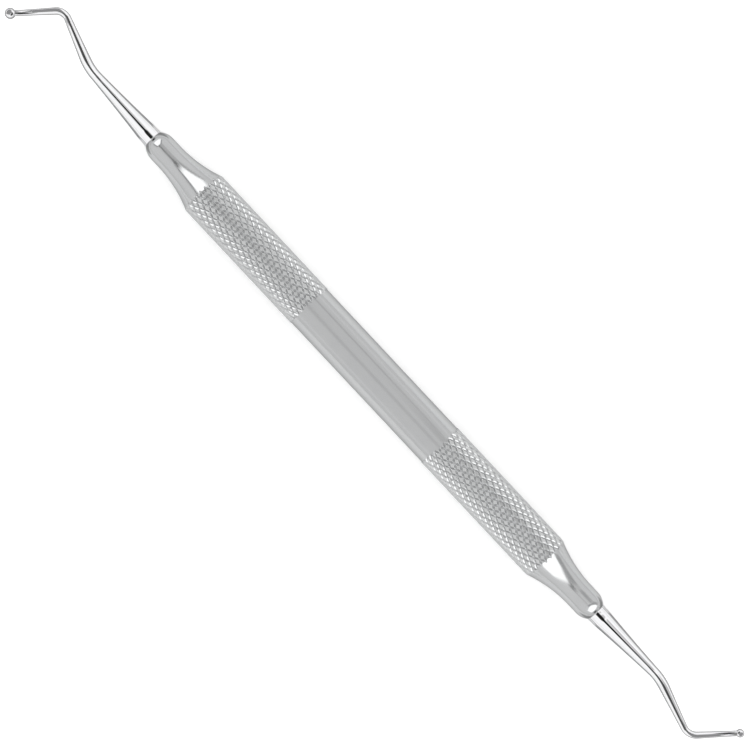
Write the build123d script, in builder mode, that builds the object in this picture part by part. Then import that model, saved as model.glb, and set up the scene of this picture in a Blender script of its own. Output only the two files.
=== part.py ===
from build123d import *
import os
from math import cos, pi, radians, sin, sqrt, tan

# Dental burnisher: a hand instrument with a hollow knurled handle and, at each
# end, a small polished ball on a bent, tapered shank.
#
# The handle's axis is X and its middle is the origin. The larger ball is at +X.
# Both shanks are bent in the XY plane, which is how the instrument lies.
# Lengths are millimetres and angles are degrees.

# Handle, outside, from the middle outwards
PLAIN_D = 8.0  # smooth middle
PLAIN_LENGTH = 31.2
BAND_LENGTH = 25.3  # each of the two knurled bands
TAPER_LENGTH = 8.1  # hollow curve from the band down to the neck
NECK_D = 4.95
NECK_LENGTH = 1.8
NOSE_RADIUS = 3.0  # arc that rounds the neck down to the shank

# Diamond knurl
GROOVE_COUNT = 24  # grooves of each hand round the handle
KNURL_ANGLE = 30.8  # between a groove and the handle's axis
CREST_D = 8.2  # over the tips of the diamonds
KNURL_DEPTH = 0.36  # from a tip down to a groove
RUN_OUT = 0.03  # how far below the smooth surface the grooves run out

# Handle, inside
BORE_D = 6.0  # the hollow
BORE_CONE_LENGTH = 4.0  # from the hollow down to the throat
THROAT_D = 2.4  # passage behind each socket
THROAT_LENGTH = 1.0

# Tang, the straight root of a shank, pressed into the handle's socket.
# Tang and socket have one diameter, so they touch all round and at the bottom.
TANG_D = 3.4
TANG_LENGTH = 8.0

# Shank, from the handle's nose to the ball
TAPER_POWER = 1.75  # 1 is a straight cone, and more is a hollow taper
ROOT_RUN = 1.2  # in line with the handle, before the slight lean
LEAN_RADIUS = 50.0
BEND_RADIUS = 10.0

# Larger end. Directions are measured from the handle's axis, and a run goes
# from one corner of the shank's middle line to the next.
LARGE_BALL_D = 1.8
LARGE_WIRE_D = 0.97  # shank where it enters the ball
LARGE_DIRECTIONS = (-1.15, -19.8, 50.0)  # after the lean, the bend and the elbow
LARGE_RUNS = (14.4, 10.3, 8.84)
LARGE_ELBOW_RADIUS = 2.1

# Smaller end, turned half round about Z
SMALL_BALL_D = 1.4
SMALL_WIRE_D = 0.92
SMALL_DIRECTIONS = (1.15, -17.1, 49.5)
SMALL_RUNS = (13.9, 10.45, 8.52)
SMALL_ELBOW_RADIUS = 2.3

# Places along the handle's axis
band_start = PLAIN_LENGTH / 2
band_end = band_start + BAND_LENGTH
neck_start = band_end + TAPER_LENGTH
nose_start = neck_start + NECK_LENGTH
nose_tip = nose_start + sqrt(NOSE_RADIUS**2 - (NOSE_RADIUS - (NECK_D - TANG_D) / 2) ** 2)
socket_floor = nose_tip - TANG_LENGTH
throat_start = socket_floor - THROAT_LENGTH
cone_start = throat_start - BORE_CONE_LENGTH

# The taper's arc is tangent to the neck
taper_drop = (PLAIN_D - NECK_D) / 2
taper_radius = (TAPER_LENGTH**2 + taper_drop**2) / (2 * taper_drop)

# The knurl's lattice. Its rows follow one another along the band and its steps
# go round it, and tips and groove crossings alternate as on a chessboard. It is
# turned by half a step, so that the instrument lies on two lines of tips.
groove_pitch = pi * CREST_D / GROOVE_COUNT
row_count = round(2 * BAND_LENGTH * tan(radians(KNURL_ANGLE)) / groove_pitch)
step_count = 2 * GROOVE_COUNT


def is_tip(row, step):
    return (row + step) % 2 == 0


def lattice_point(row, step):
    """The tip of a diamond, a crossing of two grooves, or the end of a groove."""
    if row in (0, row_count):
        radius = PLAIN_D / 2 - RUN_OUT
    elif is_tip(row, step):
        radius = CREST_D / 2
    else:
        radius = CREST_D / 2 - KNURL_DEPTH
    angle = 2 * pi * (step + 0.5) / step_count
    x = band_start + BAND_LENGTH * row / row_count
    return (x, radius * cos(angle), radius * sin(angle))


def flat_face(points):
    return Face(Wire.make_polygon(points, close=True))


def flanks(row, step):
    """The two flat flanks in one cell of the lattice, which meet in its groove."""
    a, b = lattice_point(row, step), lattice_point(row, step + 1)
    c, d = lattice_point(row + 1, step + 1), lattice_point(row + 1, step)
    if is_tip(row, step):
        return [flat_face([a, b, d]), flat_face([c, d, b])]
    return [flat_face([b, c, a]), flat_face([d, a, c])]


def knurled_bar():
    """A solid bar whose surface is the knurl, with four flanks to each diamond."""
    faces = []
    for row in range(row_count):
        for step in range(step_count):
            faces += flanks(row, step)
    for row in (0, row_count):
        faces.append(flat_face([lattice_point(row, step) for step in range(step_count)]))
    return Solid(Shell(faces))


# Knurled band
with BuildPart() as band:
    add(knurled_bar())


# Handle
with BuildPart() as handle:
    # Smooth middle, taper, neck and nose, with the knurled band between them
    with BuildSketch(Plane.XY):
        Rectangle(band_start, PLAIN_D / 2, align=(Align.MIN, Align.MIN))
        with BuildLine():
            Polyline(
                (nose_tip, TANG_D / 2),
                (nose_tip, 0),
                (band_end, 0),
                (band_end, PLAIN_D / 2),
            )
            RadiusArc((band_end, PLAIN_D / 2), (neck_start, NECK_D / 2), -taper_radius)
            Line((neck_start, NECK_D / 2), (nose_start, NECK_D / 2))
            RadiusArc((nose_start, NECK_D / 2), (nose_tip, TANG_D / 2), NOSE_RADIUS)
        make_face()
    revolve(axis=Axis.X)
    add(band.part)
    mirror(about=Plane.YZ)

    # Hollow, cone, throat and socket
    with BuildSketch(Plane.XY):
        with BuildLine():
            Polyline(
                (0, 0),
                (0, BORE_D / 2),
                (cone_start, BORE_D / 2),
                (throat_start, THROAT_D / 2),
                (socket_floor, THROAT_D / 2),
                (socket_floor, TANG_D / 2),
                (nose_tip, TANG_D / 2),
                (nose_tip, 0),
                close=True,
            )
        make_face()
        mirror(about=Plane.YZ)
    revolve(axis=Axis.X, mode=Mode.SUBTRACT)
handle.part.label = "handle"


def corners(directions, runs):
    """Corners of a shank's middle line, from the nose to the middle of the ball."""
    points = [(nose_tip, 0), (nose_tip + ROOT_RUN, 0)]
    for direction, run in zip(directions, runs):
        x, y = points[-1]
        turn = radians(direction)
        points.append((x + run * cos(turn), y + run * sin(turn)))
    return points


def shank(curve, wire_d):
    """Adds a shank round its middle line. The straight runs taper, the bends don't."""
    edges = Wire(curve.edges()).order_edges()
    straight_length = sum(edge.length for edge in edges if edge.geom_type == GeomType.LINE)

    def radius_after(length):
        share = length / straight_length
        return (wire_d + (TANG_D - wire_d) * (1 - share) ** TAPER_POWER) / 2

    done = 0.0
    for edge in edges:
        start, along = edge @ 0, edge % 0
        if edge.geom_type == GeomType.LINE:
            run = edge.length
            with BuildSketch(Plane(start, x_dir=along, z_dir=(0, 0, 1))) as half:
                with BuildLine():
                    Spline(*[(x, radius_after(done + x)) for x in (0, run / 2, run)])
                    Polyline(
                        (run, radius_after(done + run)), (run, 0), (0, 0), (0, radius_after(done))
                    )
                make_face()
            revolve(half.sketch, axis=Axis(start, along))
            done += run
        else:
            with BuildSketch(Plane(start, x_dir=(0, 0, 1), z_dir=along)) as section:
                Circle(radius_after(done))
            sweep(section.sketch, path=edge)


# Larger working end: shank, ball and tang
with BuildPart() as large_ball_end:
    with BuildLine(Plane.XY) as large_line:
        FilletPolyline(
            *corners(LARGE_DIRECTIONS, LARGE_RUNS),
            radius=(LEAN_RADIUS, BEND_RADIUS, LARGE_ELBOW_RADIUS),
        )
    shank(large_line.line, LARGE_WIRE_D)
    with Locations(large_line.line @ 1):
        Sphere(LARGE_BALL_D / 2)
    with BuildSketch(Plane((nose_tip, 0, 0), z_dir=(-1, 0, 0))):
        Circle(TANG_D / 2)
    extrude(amount=TANG_LENGTH)
large_ball_end.part.label = "large_ball_end"


# Smaller working end, drawn in the plane turned half round
with BuildPart() as small_ball_end:
    with BuildLine(Plane((0, 0, 0), x_dir=(-1, 0, 0), z_dir=(0, 0, 1))) as small_line:
        FilletPolyline(
            *corners(SMALL_DIRECTIONS, SMALL_RUNS),
            radius=(LEAN_RADIUS, BEND_RADIUS, SMALL_ELBOW_RADIUS),
        )
    shank(small_line.line, SMALL_WIRE_D)
    with Locations(small_line.line @ 1):
        Sphere(SMALL_BALL_D / 2)
    with BuildSketch(Plane((-nose_tip, 0, 0), z_dir=(1, 0, 0))):
        Circle(TANG_D / 2)
    extrude(amount=TANG_LENGTH)
small_ball_end.part.label = "small_ball_end"


os.makedirs("parts", exist_ok=True)
export_step(handle.part, "parts/handle.step")
export_step(large_ball_end.part, "parts/large_ball_end.step")
export_step(small_ball_end.part, "parts/small_ball_end.step")
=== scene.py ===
from math import acos, cos, pi, radians, sin, sqrt, tan

import bmesh
import bpy
from mathutils import Matrix, Vector


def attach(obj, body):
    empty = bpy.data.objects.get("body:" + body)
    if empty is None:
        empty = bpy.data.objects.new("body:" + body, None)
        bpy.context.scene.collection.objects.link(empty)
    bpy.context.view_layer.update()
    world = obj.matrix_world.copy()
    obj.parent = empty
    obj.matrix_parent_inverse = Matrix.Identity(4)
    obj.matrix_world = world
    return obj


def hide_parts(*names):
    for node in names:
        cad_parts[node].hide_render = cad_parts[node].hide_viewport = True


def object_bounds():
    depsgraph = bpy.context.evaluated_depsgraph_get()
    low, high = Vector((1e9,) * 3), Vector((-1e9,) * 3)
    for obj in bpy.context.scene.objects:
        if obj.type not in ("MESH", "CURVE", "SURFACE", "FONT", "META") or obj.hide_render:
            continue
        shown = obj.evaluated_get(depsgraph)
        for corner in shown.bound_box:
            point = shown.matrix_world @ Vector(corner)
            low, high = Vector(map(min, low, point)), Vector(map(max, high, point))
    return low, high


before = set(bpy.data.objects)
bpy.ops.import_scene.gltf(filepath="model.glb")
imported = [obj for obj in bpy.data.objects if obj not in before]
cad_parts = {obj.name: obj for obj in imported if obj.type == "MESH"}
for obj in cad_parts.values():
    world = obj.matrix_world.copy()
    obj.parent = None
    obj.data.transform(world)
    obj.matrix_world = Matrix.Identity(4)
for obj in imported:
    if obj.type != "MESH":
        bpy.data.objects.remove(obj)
cad_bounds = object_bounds()

# Sizes are in millimetres and angles in degrees. They agree with the solids but for the
# knurl's grooves, which are deeper there and leave no lands. Every mesh is scaled to metres
# when it is finished.
MM = 0.001

# Handle, outside
PLAIN_D = 8.0
PLAIN_LENGTH = 31.2
BAND_LENGTH = 25.3
TAPER_LENGTH = 8.1
NECK_D = 4.95
NECK_LENGTH = 1.8
NOSE_RADIUS = 3.0

# Handle, inside
BORE_D = 6.0
BORE_CONE_LENGTH = 4.0
THROAT_D = 2.4
THROAT_LENGTH = 1.0
TANG_D = 3.4
TANG_LENGTH = 8.0

# Diamond knurl
GROOVE_COUNT = 24
KNURL_ANGLE = 30.8  # between a groove and the handle's axis
CREST_D = 8.2
GROOVE_DEPTH = 0.2  # the grooves leave a flat land on each diamond
LAND_D = 8.18  # over the lands, just inside the tips of the solids
EDGE_ROUND = 0.06  # how far tumbling has rounded each side of a ridge or groove
SEAT_DEPTH = 0.28  # how far below the grooves the turned body lies under a band
SEAT_OVERLAP = 0.1  # how far a band goes on into the turned body

# Shanks. Directions are measured from the handle's axis, and a run goes from one corner of
# the middle line to the next.
TAPER_POWER = 1.75
ROOT_RUN = 1.2
LEAN_RADIUS = 50.0
BEND_RADIUS = 10.0
LARGE_END = {
    "ball_d": 1.79,
    "wire_d": 0.97,
    "directions": (-1.15, -19.8, 50.0),
    "runs": (14.4, 10.3, 8.84),
    "elbow": 2.1,
    "turn": 0.0,
}
SMALL_END = {
    "ball_d": 1.39,
    "wire_d": 0.92,
    "directions": (1.15, -17.1, 49.5),
    "runs": (13.9, 10.45, 8.52),
    "elbow": 2.3,
    "turn": 180.0,
}

# How finely the meshes are cut
HANDLE_SIDES = 160
TAPER_PIECES = 24
NOSE_PIECES = 12
LAND_SIDES = 96  # of the turned form that cuts the lands and the run-out
LAND_PIECE = 0.1
LAND_PIECES = 25
SHANK_SIDES = 64
SHANK_PIECE = 0.4
BEND_PIECE = 3.0  # degrees
BALL_PIECES = 40
MERGE_DISTANCE = 0.002
ROUNDED_ANGLE = 12.0  # the knurl's edges that are sharper than this are rounded
HANDLE_SMOOTH_ANGLE = 15.0  # flatter edges than these are shaded smooth
SHANK_SMOOTH_ANGLE = 40.0

# Nearly all values of a noise lie between these
NOISE_LOW, NOISE_HIGH = 0.3, 0.7

# Satin steel: sRGB colours, roughness, and the sizes of what the tumbling leaves
SATIN_DARK = "#B3B4B5"
SATIN_LIGHT = "#B9BABA"
SATIN_WORN = "#C4C5C5"
SATIN_GROOVE = "#B2B3B4"
SATIN_EDGE = "#C0C0C0"
SATIN_ROUGH = (0.16, 0.2)
GROOVE_ROUGHER = 0.12
CLOUD_SIZE = 3.0
PIT_SIZE = 0.12
PIT_DEPTH = 0.004
PIT_STRENGTH = 0.2
PLAIN_MARGIN = 0.25  # at each end of a band, with the finish of the plain steel beside it

# Mirror steel: sRGB colours, roughness, and the sizes of what the buff leaves
MIRROR_DARK = "#E9E9EB"
MIRROR_LIGHT = "#EFEFF0"
MIRROR_EDGE = "#303030"
MIRROR_ROUGH = (0.03, 0.06)
HAZE_SIZE = 1.5
RING_SPACING = 0.08
RING_LENGTH = 2.0
RING_DEPTH = 0.001
RING_STRENGTH = 0.1

# Table and tent, in metres. Levels are strengths of light, and 1 is white.
TABLE_WHITE = "#E8E8E8"
TABLE_LIFT = 0.3
TABLE_HALF = 3.0
FOOT_LEVEL = 1.0
CLOTH_HEIGHT = 0.3
CLOTH_HALF = 1.0
CLOTH_LEVEL = 1.12
CLOTH_BLUR = 0.008
# Patches of the cloth: the X where one starts and its span of Y there, the X where it stops
# and its span of Y there, and its level. A later patch covers an earlier one.
CLOTH_PATCHES = {
    "doubled_middle": (-0.08, (-0.6, 0.6), 0.08, (-0.6, 0.6), 1.0),
    "seam": (-0.03, (-0.31, -0.25), 0.1, (-0.31, -0.25), 0.7),
    "strap_towards_the_small_end": (-0.125, (-0.28, -0.09), -0.03, (-0.24, -0.09), 0.65),
    "strap_towards_the_large_end": (0.05, (-0.16, 0.0), 0.16, (-0.16, 0.0), 0.8),
    "hole_for_the_camera": (-0.045, (0.0, 0.07), 0.045, (0.0, 0.07), 0.85),
    "frame_towards_the_large_end": (0.155, (-0.15, 0.10), 0.50, (-0.53, 0.24), 0.5),
    "rim_of_that_frame": (0.165, (0.0, 0.09), 0.50, (0.0, 0.20), 0.2),
    "frame_towards_the_small_end": (-0.72, (-0.86, 0.20), -0.155, (-0.25, 0.02), 0.6),
    "slit_towards_the_large_end": (0.045, (-0.03, 0.03), 0.13, (-0.03, 0.03), 0.4),
    "bar_towards_the_large_end": (0.132, (-0.055, 0.055), 0.165, (-0.055, 0.055), 0.02),
    "slit_towards_the_small_end": (-0.13, (0.02, 0.06), -0.045, (0.02, 0.06), 0.9),
    "bar_towards_the_small_end": (-0.17, (-0.06, 0.06), -0.132, (-0.06, 0.06), 0.02),
    "window_towards_the_large_end": (0.175, (-0.085, 0.057), 0.48, (-0.43, 0.153), 2.4),
    "window_towards_the_small_end": (-0.70, (-0.529, 0.291), -0.30, (-0.215, 0.27), 2.4),
    "point_of_that_window": (-0.305, (-0.22, 0.272), -0.174, (-0.02, 0.03), 2.4),
}

# Grey cards under the working ends, in metres
CARD_GREY = "#B4B4B4"
CARD_ROUGH = 0.9
CARD_START, CARD_STOP, CARD_HALF = 0.0555, 0.12, 0.03
CARD_LIFT = 0.0005

# Cards close over each working end: the leg of the shank or the ball that a card goes with,
# its height, its level, and its corners along the leg and to the leg's left. A ball's card
# has its corners along X and Y from the ball.
END_CARDS = {
    "line_of_the_root": (
        0,
        2.3,
        0.02,
        (
            (-1.0, -0.5), (0.4, -0.5), (0.8, -0.3), (3.4, -0.27),
            (3.4, 0.27), (0.8, 0.3), (0.4, 0.5), (-1.0, 0.5),
        ),
    ),
    "line_of_the_wire": (
        1,
        5.5,
        0.08,
        ((-1.0, -1.6), (3.0, -3.0), (11.0, -3.2), (11.0, 2.2), (3.0, 2.0), (-1.0, 0.6)),
    ),
    "shade_past_the_elbow": (2, 5.6, 0.3, ((-1.0, -30), (6.2, -30), (6.2, 2.3), (-1.0, 2.3))),
    "shade_over_the_ball": ("ball", 5.7, 0.3, ((-2, -3.5), (25, -3.5), (25, 5), (-2, 5))),
    "shade_beyond_on_one_side": (
        "ball",
        5.7,
        0.3,
        ((0.5, -3.5), (7, -25), (30, -25), (30, -3.5)),
    ),
    "shade_beyond_on_the_other": ("ball", 5.7, 0.3, ((1.2, 5), (30, 5), (30, 25), (10, 25))),
    "bright_spot_on_the_ball": (
        "ball",
        1.6,
        1.15,
        ((-0.8, -1.5), (-1, -3.3), (1, -3.3), (0.8, -1.5)),
    ),
    "dark_behind_the_ball": (
        "ball",
        2.0,
        0.03,
        ((-3.8, -2.4), (-1.1, -1), (-1.1, 0.8), (-3.8, 1.8)),
    ),
}

# Camera
LENS = 100.0
SENSOR_WIDTH = 36.0
NEAREST_VIEW = 0.01  # metres
VIEW_WIDTH = 122.45  # what the picture shows from side to side at the handle's axis
VIEW_SHIFT = -0.136  # along Y
VIEW_RIGHT = (-0.6834, -0.7301, 0.0)  # direction that is the picture's right

# Places along the handle's axis, and radii that follow from the sizes
band_start = PLAIN_LENGTH / 2
band_end = band_start + BAND_LENGTH
neck_start = band_end + TAPER_LENGTH
nose_start = neck_start + NECK_LENGTH
nose_tip = nose_start + sqrt(NOSE_RADIUS**2 - (NOSE_RADIUS - (NECK_D - TANG_D) / 2) ** 2)
groove_pitch = pi * CREST_D / GROOVE_COUNT
row_count = round(2 * BAND_LENGTH * tan(radians(KNURL_ANGLE)) / groove_pitch)
band_far = band_end + BAND_LENGTH / row_count  # the grooves run out on the taper
full_depth = groove_pitch * cos(radians(KNURL_ANGLE)) / 2  # where square grooves would meet
body_seat = CREST_D / 2 - GROOVE_DEPTH - SEAT_DEPTH

# A Mix node's sockets for colours, whose names are also those of its sockets for numbers
MIX_A, MIX_B, MIX_RESULT = 6, 7, 2


def linear(hex_colour):
    """An sRGB hex colour as linear red, green, blue and alpha."""
    parts = [int(hex_colour[i : i + 2], 16) / 255 for i in (1, 3, 5)]
    return [c / 12.92 if c <= 0.04045 else ((c + 0.055) / 1.055) ** 2.4 for c in parts] + [1.0]


def add(tree, kind, inputs=(), **settings):
    """Adds a node. Each input is a value, another node's output, or another node, which
    stands for its first output. Inputs come by name, or in order as a list."""
    node = tree.nodes.new(kind)
    for name, value in settings.items():
        setattr(node, name, value)
    for key, value in dict(inputs if isinstance(inputs, dict) else enumerate(inputs)).items():
        if isinstance(value, bpy.types.Node):
            value = next(socket for socket in value.outputs if socket.enabled)
        if isinstance(value, bpy.types.NodeSocket):
            tree.links.new(value, node.inputs[key])
        else:
            node.inputs[key].default_value = value
    return node


# Materials


def metal(name, edge):
    """A bare metal's material, its tree, its shader and the place on the object. The edge
    is how much of its light a metal still gives back at a grazing angle."""
    material = bpy.data.materials.new(name)
    material.use_nodes = True
    tree = material.node_tree
    shader = tree.nodes["Principled BSDF"]
    shader.inputs["Metallic"].default_value = 1.0
    shader.inputs["Specular Tint"].default_value = linear(edge)
    return material, tree, shader, add(tree, "ShaderNodeTexCoord").outputs["Object"]


def satin_stainless_steel():
    """Turned stainless steel, tumbled in fine ceramic media after knurling. The tumbling
    leaves an even grey with soft reflections. Handling polishes what stands proud, and
    the grooves keep the duller tumbled finish."""
    material, tree, shader, place = metal("satin_stainless_steel", SATIN_EDGE)
    # Cloudy patches of a few millimetres, and the media's own small pits
    noise = {"Vector": place, "Scale": 1 / (CLOUD_SIZE * MM), "Detail": 3.0}
    cloud = add(tree, "ShaderNodeTexNoise", noise)
    noise = {"Vector": place, "Scale": 1 / (PIT_SIZE * MM), "Detail": 1.0}
    pits = add(tree, "ShaderNodeTexNoise", noise)

    # Distance from the axis tells a worn land from the bottom of a groove
    axes = add(tree, "ShaderNodeSeparateXYZ", [place]).outputs
    side = add(tree, "ShaderNodeCombineXYZ", {"Y": axes["Y"], "Z": axes["Z"]})
    reach = add(tree, "ShaderNodeVectorMath", [side], operation="LENGTH").outputs["Value"]
    along = add(tree, "ShaderNodeMath", [axes["X"]], operation="ABSOLUTE")
    middle, half = (band_end + band_start) / 2 * MM, (BAND_LENGTH / 2 - PLAIN_MARGIN) * MM
    banded = add(tree, "ShaderNodeMath", [along, middle, half], operation="COMPARE")
    crest, floor = CREST_D / 2 * MM, (CREST_D / 2 - GROOVE_DEPTH) * MM
    limits = {"Value": reach, "From Min": crest, "From Max": floor}
    depth = add(tree, "ShaderNodeMapRange", limits)
    groove = add(tree, "ShaderNodeMath", [depth, banded], operation="MULTIPLY")
    land = add(tree, "ShaderNodeMath", [banded, groove], operation="SUBTRACT")

    # The clouds come first, and over them the worn lands and the dull grooves
    tone = linear(SATIN_DARK)
    for share, colour in ((cloud, SATIN_LIGHT), (land, SATIN_WORN), (groove, SATIN_GROOVE)):
        layer = {"Factor": share, MIX_A: tone, MIX_B: linear(colour)}
        tone = add(tree, "ShaderNodeMix", layer, data_type="RGBA").outputs[MIX_RESULT]
    tree.links.new(tone, shader.inputs["Base Color"])
    limits = {"From Min": NOISE_LOW, "From Max": NOISE_HIGH}
    limits |= {"To Min": SATIN_ROUGH[0], "To Max": SATIN_ROUGH[1]}
    rough = add(tree, "ShaderNodeMapRange", {"Value": cloud} | limits)
    inputs = [groove, GROOVE_ROUGHER, rough]
    rougher = add(tree, "ShaderNodeMath", inputs, operation="MULTIPLY_ADD")
    tree.links.new(rougher.outputs["Value"], shader.inputs["Roughness"])
    relief = {"Height": pits, "Strength": PIT_STRENGTH, "Distance": PIT_DEPTH * MM}
    pitted = add(tree, "ShaderNodeBump", relief)
    tree.links.new(pitted.outputs["Normal"], shader.inputs["Normal"])
    return material


def polished_hardened_steel():
    """Hardened stainless steel, buffed to a mirror. It gives sharp black and white
    reflections, faintly drawn out by the rings that the buff leaves."""
    material, tree, shader, place = metal("polished_hardened_steel", MIRROR_EDGE)
    noise = {"Vector": place, "Scale": 1 / (HAZE_SIZE * MM), "Detail": 2.0}
    haze = add(tree, "ShaderNodeTexNoise", noise)
    colours = {"Factor": haze, MIX_A: linear(MIRROR_DARK), MIX_B: linear(MIRROR_LIGHT)}
    tone = add(tree, "ShaderNodeMix", colours, data_type="RGBA")
    tree.links.new(tone.outputs[MIX_RESULT], shader.inputs["Base Color"])
    limits = {"From Min": NOISE_LOW, "From Max": NOISE_HIGH}
    limits |= {"To Min": MIRROR_ROUGH[0], "To Max": MIRROR_ROUGH[1]}
    rough = add(tree, "ShaderNodeMapRange", {"Value": haze} | limits)
    tree.links.new(rough.outputs["Result"], shader.inputs["Roughness"])

    # The rings are really a few thousandths of a millimetre apart, and drawn coarser to show
    density = (1 / (RING_SPACING * MM), 1 / (RING_LENGTH * MM), 1 / (RING_LENGTH * MM))
    stretched = add(tree, "ShaderNodeMapping", {"Vector": place, "Scale": density})
    noise = {"Vector": stretched, "Scale": 1.0, "Detail": 1.0}
    rings = add(tree, "ShaderNodeTexNoise", noise)
    relief = {"Height": rings, "Strength": RING_STRENGTH, "Distance": RING_DEPTH * MM}
    buffed = add(tree, "ShaderNodeBump", relief)
    tree.links.new(buffed.outputs["Normal"], shader.inputs["Normal"])
    return material


# Geometry trees


def knurl_tree():
    """Both knurled bands: a lattice whose rows follow one another along the band and whose
    steps go round it. Tips and crossings of grooves alternate as on a chessboard, and each
    cell is split along its groove, which is its shorter diagonal."""
    tree = bpy.data.node_groups.new("diamond_knurl", "GeometryNodeTree")
    for name in ("Grooves Around", "Rows"):
        tree.interface.new_socket(name, in_out="INPUT", socket_type="NodeSocketInt")
    for name in ("Band Start", "Band Length", "Tip Radius", "Groove Depth", "Seat Radius"):
        tree.interface.new_socket(name, in_out="INPUT", socket_type="NodeSocketFloat")
    tree.interface.new_socket("Material", in_out="INPUT", socket_type="NodeSocketMaterial")
    tree.interface.new_socket("Geometry", in_out="OUTPUT", socket_type="NodeSocketGeometry")
    given = add(tree, "NodeGroupInput").outputs

    # The lattice's own rows, one at each end that goes down to the seat, and the first of
    # these once more, which closes the band on its inside
    steps = add(tree, "ShaderNodeMath", [given["Grooves Around"], 2.0], operation="MULTIPLY")
    last = add(tree, "ShaderNodeMath", [given["Rows"], 3.0], operation="ADD")
    lattice = add(
        tree,
        "GeometryNodeMeshGrid",
        {
            "Size X": last,
            "Size Y": steps,
            "Vertices X": add(tree, "ShaderNodeMath", [last, 1.0], operation="ADD"),
            "Vertices Y": add(tree, "ShaderNodeMath", [steps, 1.0], operation="ADD"),
        },
    )
    spot = add(tree, "ShaderNodeSeparateXYZ", [add(tree, "GeometryNodeInputPosition")]).outputs
    half = add(tree, "ShaderNodeMath", [last, 0.5], operation="MULTIPLY")
    line = add(tree, "ShaderNodeMath", [spot["X"], half], operation="ADD")
    line = add(tree, "ShaderNodeMath", [line], operation="ROUND")
    step = add(tree, "ShaderNodeMath", [spot["Y"], given["Grooves Around"]], operation="ADD")
    step = add(tree, "ShaderNodeMath", [step], operation="ROUND")
    row = add(tree, "ShaderNodeMath", [line, 1.0], operation="SUBTRACT")

    # Place along the band
    kept = add(tree, "ShaderNodeClamp", {"Value": row, "Min": 0.0, "Max": given["Rows"]})
    share = add(tree, "ShaderNodeMath", [kept, given["Rows"]], operation="DIVIDE")
    closes = add(tree, "ShaderNodeMath", [line, last, 0.5], operation="COMPARE")
    choice = {"Switch": closes, "False": share, "True": 0.0}
    share = add(tree, "GeometryNodeSwitch", choice, input_type="FLOAT")
    place = [share, given["Band Length"], given["Band Start"]]
    along = add(tree, "ShaderNodeMath", place, operation="MULTIPLY_ADD")

    # Distance from the axis: tip or crossing, and beyond the last rows the seat
    count = add(tree, "ShaderNodeMath", [row, step], operation="ADD")
    crossing = add(tree, "ShaderNodeMath", [count, 2.0], operation="FLOORED_MODULO")
    cut = add(tree, "ShaderNodeMath", [given["Groove Depth"], crossing], operation="MULTIPLY")
    radius = add(tree, "ShaderNodeMath", [given["Tip Radius"], cut], operation="SUBTRACT")
    middle = add(tree, "ShaderNodeMath", [given["Rows"], 0.5], operation="MULTIPLY")
    offset = add(tree, "ShaderNodeMath", [row, middle], operation="SUBTRACT")
    offset = add(tree, "ShaderNodeMath", [offset], operation="ABSOLUTE")
    offset = add(tree, "ShaderNodeMath", [offset, middle], operation="SUBTRACT")
    beyond = add(tree, "ShaderNodeMath", [offset, 0.5], operation="GREATER_THAN")
    choice = {"Switch": beyond, "False": radius, "True": given["Seat Radius"]}
    radius = add(tree, "GeometryNodeSwitch", choice, input_type="FLOAT")

    # Wrapped round the axis, turned by half a step
    angle = add(tree, "ShaderNodeMath", [step, 0.5], operation="ADD")
    angle = add(tree, "ShaderNodeMath", [angle, 2 * pi], operation="MULTIPLY")
    angle = add(tree, "ShaderNodeMath", [angle, steps], operation="DIVIDE")
    across = add(tree, "ShaderNodeMath", [angle], operation="COSINE")
    above = add(tree, "ShaderNodeMath", [angle], operation="SINE")
    place = add(
        tree,
        "ShaderNodeCombineXYZ",
        {
            "X": along,
            "Y": add(tree, "ShaderNodeMath", [radius, across], operation="MULTIPLY"),
            "Z": add(tree, "ShaderNodeMath", [radius, above], operation="MULTIPLY"),
        },
    )
    wrapped = add(tree, "GeometryNodeSetPosition", {"Geometry": lattice, "Position": place})
    split = add(tree, "GeometryNodeTriangulate", [wrapped], quad_method="SHORTEST_DIAGONAL")
    doubles = {"Geometry": split, "Distance": MERGE_DISTANCE}
    band = add(tree, "GeometryNodeMergeByDistance", doubles)

    # The other band is the mirror image of the first
    mirrored = add(tree, "GeometryNodeTransform", {"Geometry": band, "Scale": (-1.0, 1.0, 1.0)})
    flipped = add(tree, "GeometryNodeFlipFaces", [mirrored]).outputs["Mesh"]
    both = add(tree, "GeometryNodeJoinGeometry", [band])
    tree.links.new(flipped, both.inputs["Geometry"])
    whole = add(tree, "GeometryNodeRealizeInstances", [both])
    coat = {"Geometry": whole, "Material": given["Material"]}
    add(tree, "NodeGroupOutput", [add(tree, "GeometryNodeSetMaterial", coat)])
    return tree


def working_end_tree():
    """A round bar swept along a middle line, whose radius at each point is the line's."""
    tree = bpy.data.node_groups.new("drawn_working_end", "GeometryNodeTree")
    tree.interface.new_socket("Middle Line", in_out="INPUT", socket_type="NodeSocketGeometry")
    tree.interface.new_socket("Sides", in_out="INPUT", socket_type="NodeSocketInt")
    tree.interface.new_socket("Material", in_out="INPUT", socket_type="NodeSocketMaterial")
    tree.interface.new_socket("Geometry", in_out="OUTPUT", socket_type="NodeSocketGeometry")
    given = add(tree, "NodeGroupInput").outputs
    circle = {"Resolution": given["Sides"], "Radius": 1.0}
    ring = add(tree, "GeometryNodeCurvePrimitiveCircle", circle)
    bar = add(
        tree,
        "GeometryNodeCurveToMesh",
        {
            "Curve": given["Middle Line"],
            "Profile Curve": ring,
            "Scale": add(tree, "GeometryNodeInputRadius"),
            "Fill Caps": True,
        },
    )
    whole = add(tree, "GeometryNodeRealizeInstances", [bar])
    coat = {"Geometry": whole, "Material": given["Material"]}
    add(tree, "NodeGroupOutput", [add(tree, "GeometryNodeSetMaterial", coat)])
    return tree


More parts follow.
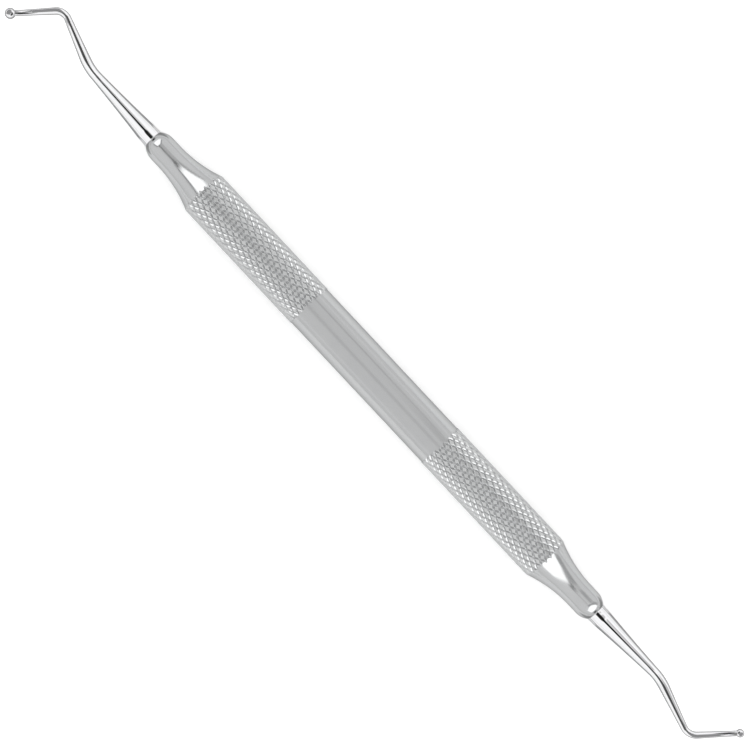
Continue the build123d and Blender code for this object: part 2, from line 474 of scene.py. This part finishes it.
def grown(name, source, tree, values):
    """The mesh that a tree makes of a source object, which is then removed."""
    maker = bpy.data.objects.new(name + "_maker", source)
    bpy.context.scene.collection.objects.link(maker)
    modifier = maker.modifiers.new("grow", "NODES")
    modifier.node_group = tree
    for item in tree.interface.items_tree:
        if item.in_out == "INPUT" and item.name in values:
            modifier[item.identifier] = values[item.name]
    graph = bpy.context.evaluated_depsgraph_get()
    mesh = bpy.data.meshes.new_from_object(maker.evaluated_get(graph), depsgraph=graph)
    bpy.data.objects.remove(maker)
    return mesh


def finished(name, mesh, node):
    """Scales a mesh to metres and hands it over as the piece that stands for a CAD node."""
    mesh.name = name
    mesh.transform(Matrix.Scale(MM, 4))
    piece = bpy.data.objects.new(name, mesh)
    bpy.context.scene.collection.objects.link(piece)
    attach(piece, "root")
    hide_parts(node)
    return piece


# Handle


def taper_radius(x):
    """Radius of the taper, a hollow arc that runs into the neck."""
    drop = (PLAIN_D - NECK_D) / 2
    bow = (TAPER_LENGTH**2 + drop**2) / (2 * drop)
    return NECK_D / 2 + bow - sqrt(bow**2 - (neck_start - x) ** 2)


def half_outline():
    """Outside of one half of the turned body, from the middle to the nose's tip."""
    points = [(x, PLAIN_D / 2) for x in (0.0, PLAIN_LENGTH / 4, band_start)]
    points += [(x, body_seat) for x in (band_start, (band_start + band_far) / 2, band_far)]
    for i in range(TAPER_PIECES + 1):
        x = band_far + (neck_start - band_far) * i / TAPER_PIECES
        points.append((x, taper_radius(x)))
    lip = acos(1 - (NECK_D - TANG_D) / 2 / NOSE_RADIUS)
    for i in range(NOSE_PIECES + 1):
        turn = lip * i / NOSE_PIECES
        x = nose_start + NOSE_RADIUS * sin(turn)
        points.append((x, NECK_D / 2 - NOSE_RADIUS * (1 - cos(turn))))
    return points


def half_hollow():
    """Inside of one half, from the nose's tip back to the middle."""
    floor = nose_tip - TANG_LENGTH
    throat = floor - THROAT_LENGTH
    return [
        (floor, TANG_D / 2),
        (floor, THROAT_D / 2),
        (throat, THROAT_D / 2),
        (throat - BORE_CONE_LENGTH, BORE_D / 2),
        (0.0, BORE_D / 2),
    ]


def turned(outline, sides):
    """A closed outline of (along, radius) points turned about the X axis."""
    mesh = bmesh.new()
    rings = [
        [
            mesh.verts.new((x, r * cos(2 * pi * k / sides), r * sin(2 * pi * k / sides)))
            for k in range(sides)
        ]
        for x, r in outline
    ]
    for ring, after in zip(rings, rings[1:] + rings[:1]):
        for k in range(sides):
            n = (k + 1) % sides
            mesh.faces.new((ring[k], ring[n], after[n], after[k]))
    return mesh


def turned_body():
    """The handle without its knurl: a tube with a seat under each band."""
    outside, inside = half_outline(), half_hollow()
    right = outside[1:] + inside
    left = [(-x, r) for x, r in reversed(right[:-1])]
    return turned([outside[0]] + right + left, HANDLE_SIDES)


def tumbled_bands(steel):
    """The knurled bands with their ridges and grooves rounded, and still with full tips."""
    sizes = {
        "Grooves Around": GROOVE_COUNT,
        "Rows": row_count + 1,
        "Band Start": band_start,
        "Band Length": band_far - band_start,
        "Tip Radius": CREST_D / 2 - GROOVE_DEPTH + full_depth,
        "Groove Depth": full_depth,
        "Seat Radius": body_seat - SEAT_OVERLAP,
        "Material": steel,
    }
    bands = grown("knurl", bpy.data.meshes.new("knurl_seed"), knurl_tree(), sizes)
    knurl = bmesh.new()
    knurl.from_mesh(bands)
    hair = 0.01

    def inner(vert):
        return band_start + hair < abs(vert.co.x) < band_far - hair

    edges = [
        edge
        for edge in knurl.edges
        if edge.calc_face_angle(0.0) > radians(ROUNDED_ANGLE)
        and min(v.co.yz.length for v in edge.verts) > body_seat
        and any(inner(v) for v in edge.verts)
    ]
    bmesh.ops.bevel(
        knurl,
        geom=edges,
        offset=EDGE_ROUND,
        offset_type="OFFSET",
        segments=2,
        profile=0.5,
        affect="EDGES",
        clamp_overlap=True,
    )
    bmesh.ops.recalc_face_normals(knurl, faces=knurl.faces)
    knurl.to_mesh(bands)
    knurl.free()
    return bands


def turned_off(bands):
    """The knurled bands, with their tips turned down to lands and their outer ends cut by
    the tapers, where the grooves run out."""
    lead = 0.5  # starts this far before the taper
    inside = 1.0  # radius well within the bands' own inside
    xs = [band_end - lead + LAND_PIECE * i for i in range(LAND_PIECES + 1)]
    right = [(x, min(LAND_D / 2, taper_radius(x))) for x in xs] + [(xs[-1], inside)]
    left = [(-x, r) for x, r in reversed(right)]
    tool = turned(right + left, LAND_SIDES)
    bmesh.ops.recalc_face_normals(tool, faces=tool.faces)
    limit = bpy.data.meshes.new("taper_limit")
    tool.to_mesh(limit)
    tool.free()
    pair = [bpy.data.objects.new(mesh.name, mesh) for mesh in (bands, limit)]
    for item in pair:
        bpy.context.scene.collection.objects.link(item)
    cut = pair[0].modifiers.new("turn_off", "BOOLEAN")
    cut.operation = "INTERSECT"
    cut.solver = "MANIFOLD"
    cut.object = pair[1]
    graph = bpy.context.evaluated_depsgraph_get()
    mesh = bpy.data.meshes.new_from_object(pair[0].evaluated_get(graph), depsgraph=graph)
    for item in pair:
        bpy.data.objects.remove(item)
    return mesh


def make_handle(steel):
    """The turned body and its two knurled bands, as one piece."""
    body = turned_body()
    body.from_mesh(turned_off(tumbled_bands(steel)))
    bmesh.ops.recalc_face_normals(body, faces=body.faces)
    for edge in body.edges:
        edge.smooth = edge.calc_face_angle(0.0) < radians(HANDLE_SMOOTH_ANGLE)
    for face in body.faces:
        face.smooth = True
        face.material_index = 0
    mesh = bpy.data.meshes.new("handle_body")
    body.to_mesh(mesh)
    body.free()
    mesh.materials.append(steel)
    return finished("handle_body", mesh, "handle")


# Working ends


def leg_corners(end):
    """Where a shank's straight legs would meet, from the nose's tip to the ball's middle."""
    corners = [Vector((nose_tip, 0.0)), Vector((nose_tip + ROOT_RUN, 0.0))]
    for direction, run in zip(end["directions"], end["runs"]):
        turn = radians(direction)
        corners.append(corners[-1] + run * Vector((cos(turn), sin(turn))))
    return corners


def middle_line(end):
    """A shank's middle line up to its last run, as (place, length of straight wire so far),
    then where that run starts, the ball's middle, and the length before the run."""
    corners = leg_corners(end)
    radii = (LEAN_RADIUS, BEND_RADIUS, end["elbow"])
    points, done, start = [], 0.0, corners[0]
    for i, radius in enumerate(radii, 1):
        before = (corners[i] - corners[i - 1]).normalized()
        after = (corners[i + 1] - corners[i]).normalized()
        bend = before.angle_signed(after)
        reach = radius * tan(abs(bend) / 2)
        stop = corners[i] - before * reach
        run = (stop - start).length
        pieces = max(2, round(run / SHANK_PIECE))
        points += [(start.lerp(stop, k / pieces), done + run * k / pieces) for k in range(pieces)]
        done += run
        side = Vector((-before.y, before.x)) * (-1 if bend > 0 else 1)
        centre = stop + side * radius
        pieces = max(3, round(abs(bend) / radians(BEND_PIECE)))
        for k in range(pieces):
            swing = Matrix.Rotation(-bend * k / pieces, 2)
            points.append((centre + swing @ (stop - centre), done))
        start = corners[i] + after * reach
    return points, start, corners[-1], done


def last_run(run, ball_r):
    """Distances along the last run to where the ball starts, and on to the ball's pole."""
    leave = run - ball_r
    pieces = max(2, round(leave / SHANK_PIECE))
    stations = [leave * k / pieces for k in range(pieces)]
    stations += [run - ball_r * cos(pi * k / BALL_PIECES) for k in range(BALL_PIECES)]
    # A last small ring closes the pole
    return stations + [run + ball_r * cos(pi / BALL_PIECES / 4)]


def make_end(name, end, tree, steel):
    """A working end in one piece: its tang, its tapered and bent shank, and its ball."""
    points, start, ball, done = middle_line(end)
    run = (ball - start).length
    straight = done + run
    ball_r = end["ball_d"] / 2

    def wire_radius(length):
        share = max(0.0, 1 - length / straight)
        return (end["wire_d"] + (TANG_D - end["wire_d"]) * share**TAPER_POWER) / 2

    line = [(Vector((nose_tip - TANG_LENGTH, 0.0)), TANG_D / 2)]
    line += [(place, wire_radius(length)) for place, length in points]
    heading = (ball - start).normalized()
    for station in last_run(run, ball_r):
        # The wire's radius holds until the ball's is larger
        chord = sqrt(max(0.0, ball_r**2 - (station - run) ** 2))
        radius = max(chord, wire_radius(done + station) if station < run else 0.0)
        line.append((start + heading * station, radius))

    curve = bpy.data.curves.new(name + "_line", "CURVE")
    curve.dimensions = "3D"
    spline = curve.splines.new("POLY")
    spline.points.add(len(line) - 1)
    turn = radians(end["turn"])
    for point, (place, radius) in zip(spline.points, line):
        x, y = place
        point.co = (x * cos(turn) - y * sin(turn), x * sin(turn) + y * cos(turn), 0.0, 1.0)
        point.radius = radius
    mesh = grown(name, curve, tree, {"Sides": SHANK_SIDES, "Material": steel})
    mesh.shade_smooth()
    mesh.set_sharp_from_angle(angle=radians(SHANK_SMOOTH_ANGLE))
    return finished(name, mesh, name.replace("_burnisher", "_end"))


# Studio


def studio_material(name):
    """A material with no shader yet, its tree and the socket for its surface."""
    material = bpy.data.materials.new(name)
    material.use_nodes = True
    tree = material.node_tree
    tree.nodes.remove(tree.nodes["Principled BSDF"])
    return material, tree, tree.nodes["Material Output"].inputs["Surface"]


def studio_sheet(name, corners, height, material):
    """A level sheet of the studio, which isn't part of the object."""
    mesh = bpy.data.meshes.new(name)
    mesh.from_pydata([(x, y, height) for x, y in corners], [], [tuple(range(len(corners)))])
    mesh.materials.append(material)
    sheet = bpy.data.objects.new(name, mesh)
    bpy.context.scene.collection.objects.link(sheet)
    return sheet


def card(name, corners, height, material):
    """A level sheet that only reflections show."""
    sheet = studio_sheet(name, corners, height, material)
    sheet.visible_camera = sheet.visible_diffuse = sheet.visible_shadow = False


def rectangle(start, stop, half):
    """Corners of a rectangle from one X to another, as wide on both sides of the X axis."""
    return [(start, -half), (stop, -half), (stop, half), (start, half)]


def white_table(height):
    """A matt white table top that the instrument lies on. What the camera and the
    reflections see of it is lifted to white, and the instrument's shadow stays."""
    material, tree, surface = studio_material("matt_white_table")
    paint = add(tree, "ShaderNodeBsdfDiffuse", [linear(TABLE_WHITE)])
    path = add(tree, "ShaderNodeLightPath").outputs
    seen = path["Is Camera Ray"]
    for kind in ("Is Glossy Ray", "Is Transmission Ray"):
        seen = add(tree, "ShaderNodeMath", [seen, path[kind]], operation="MAXIMUM")
    lift = add(tree, "ShaderNodeMath", [seen, TABLE_LIFT], operation="MULTIPLY")
    glow = add(tree, "ShaderNodeEmission", {"Color": linear("#FFFFFF"), "Strength": lift})
    both = add(tree, "ShaderNodeAddShader", [paint, glow])
    tree.links.new(both.outputs[0], surface)
    studio_sheet("table", rectangle(-TABLE_HALF, TABLE_HALF, TABLE_HALF), height, material)


def patch_cover(tree, name, spot, patch):
    """How much a patch covers the cloth at a spot: 1 inside it and 0 outside, with a soft
    edge between."""
    start, first, stop, last = patch
    span = {"Value": spot["X"], "From Min": start, "From Max": stop}
    share = add(tree, "ShaderNodeMapRange", span, label=name, clamp=False)
    gaps = [
        add(tree, "ShaderNodeMath", [spot["X"], start], operation="SUBTRACT"),
        add(tree, "ShaderNodeMath", [stop, spot["X"]], operation="SUBTRACT"),
    ]
    for i, side in enumerate((1.0, -1.0)):
        slope = [share, last[i] - first[i], first[i]]
        edge = add(tree, "ShaderNodeMath", slope, operation="MULTIPLY_ADD")
        gap = add(tree, "ShaderNodeMath", [spot["Y"], edge], operation="SUBTRACT")
        gaps.append(add(tree, "ShaderNodeMath", [gap, side], operation="MULTIPLY"))
    inside = gaps[0]
    for gap in gaps[1:]:
        inside = add(tree, "ShaderNodeMath", [inside, gap], operation="MINIMUM")
    edge = {"Value": inside, "From Min": -CLOTH_BLUR, "From Max": CLOTH_BLUR}
    return add(tree, "ShaderNodeMapRange", edge, interpolation_type="SMOOTHSTEP")


def tent_cloth():
    """The light tent's cloth over the table. It lets light through evenly but for its seam,
    straps and slits, the camera's hole, and a dark bar and a framed window towards each
    end."""
    material, tree, surface = studio_material("white_tent_cloth")
    place = add(tree, "ShaderNodeTexCoord").outputs["Object"]
    spot = add(tree, "ShaderNodeSeparateXYZ", [place]).outputs
    level = CLOTH_LEVEL
    for name, (*patch, patch_level) in CLOTH_PATCHES.items():
        cover = patch_cover(tree, name, spot, patch)
        level = add(tree, "ShaderNodeMix", {"Factor": cover, "A": level, "B": patch_level})
    glow = add(tree, "ShaderNodeEmission", {"Color": linear("#FFFFFF"), "Strength": level})
    tree.links.new(glow.outputs[0], surface)
    corners = rectangle(-CLOTH_HALF, CLOTH_HALF, CLOTH_HALF)
    studio_sheet("tent_cloth", corners, CLOTH_HEIGHT, material).visible_camera = False


def tent_foot():
    """The tent's foot and the room beyond it, all round the table."""
    world = bpy.data.worlds.new("tent_foot")
    bpy.context.scene.world = world
    world.use_nodes = True
    shade = world.node_tree.nodes["Background"]
    shade.inputs["Color"].default_value = linear("#FFFFFF")
    shade.inputs["Strength"].default_value = FOOT_LEVEL


def grey_cards(height):
    """A grey card under each working end. The polished steel shows it as the grey line
    along its edges, which parts it from the white table."""
    material = bpy.data.materials.new("grey_card")
    material.use_nodes = True
    shader = material.node_tree.nodes["Principled BSDF"]
    shader.inputs["Base Color"].default_value = linear(CARD_GREY)
    shader.inputs["Roughness"].default_value = CARD_ROUGH
    shader.inputs["Specular IOR Level"].default_value = 0.0
    for end in (-1, 1):
        start, stop = sorted((end * CARD_START, end * CARD_STOP))
        card("grey_card", rectangle(start, stop, CARD_HALF), height, material)


def end_cards(end):
    """Cards close over a working end. Its reflections show the dim ones as the dark line
    along the shank, the shaded side past the elbow and the grey of the ball, and the
    bright one as the ball's spot."""
    corners = leg_corners(end)
    turn = Matrix.Rotation(radians(end["turn"]), 2)
    for name, (part, height, level, outline) in END_CARDS.items():
        if part == "ball":
            start, along = corners[-1], Vector((1.0, 0.0))
        else:
            start = corners[part + 1]
            along = (corners[part + 2] - start).normalized()
        left = Vector((-along.y, along.x))
        places = [turn @ (start + a * along + b * left) * MM for a, b in outline]
        material, tree, surface = studio_material("dim_card")
        glow = add(tree, "ShaderNodeEmission", {"Color": linear("#FFFFFF"), "Strength": level})
        tree.links.new(glow.outputs[0], surface)
        card(name, places, height * MM, material)


def camera():
    """Straight down on the table, turned so that the larger end is at the upper left."""
    lens = bpy.data.cameras.new("camera")
    lens.lens = LENS
    lens.sensor_width = SENSOR_WIDTH
    lens.clip_start = NEAREST_VIEW
    view = bpy.data.objects.new("camera", lens)
    right = Vector(VIEW_RIGHT).normalized()
    up = Vector((-right.y, right.x, 0.0))
    distance = VIEW_WIDTH * MM * lens.lens / lens.sensor_width
    turn = Matrix((right, up, (0, 0, 1))).transposed()
    view.matrix_world = Matrix.Translation((0.0, VIEW_SHIFT * MM, distance)) @ turn.to_4x4()
    bpy.context.scene.collection.objects.link(view)
    bpy.context.scene.camera = view


camera()
satin = satin_stainless_steel()
mirror = polished_hardened_steel()
make_handle(satin)
ends_tree = working_end_tree()
make_end("large_ball_burnisher", LARGE_END, ends_tree, mirror)
make_end("small_ball_burnisher", SMALL_END, ends_tree, mirror)

table_top = cad_bounds[0][2]
white_table(table_top)
tent_cloth()
tent_foot()
grey_cards(table_top + CARD_LIFT)
end_cards(LARGE_END)
end_cards(SMALL_END)

bpy.context.scene.view_settings.view_transform = "Standard"
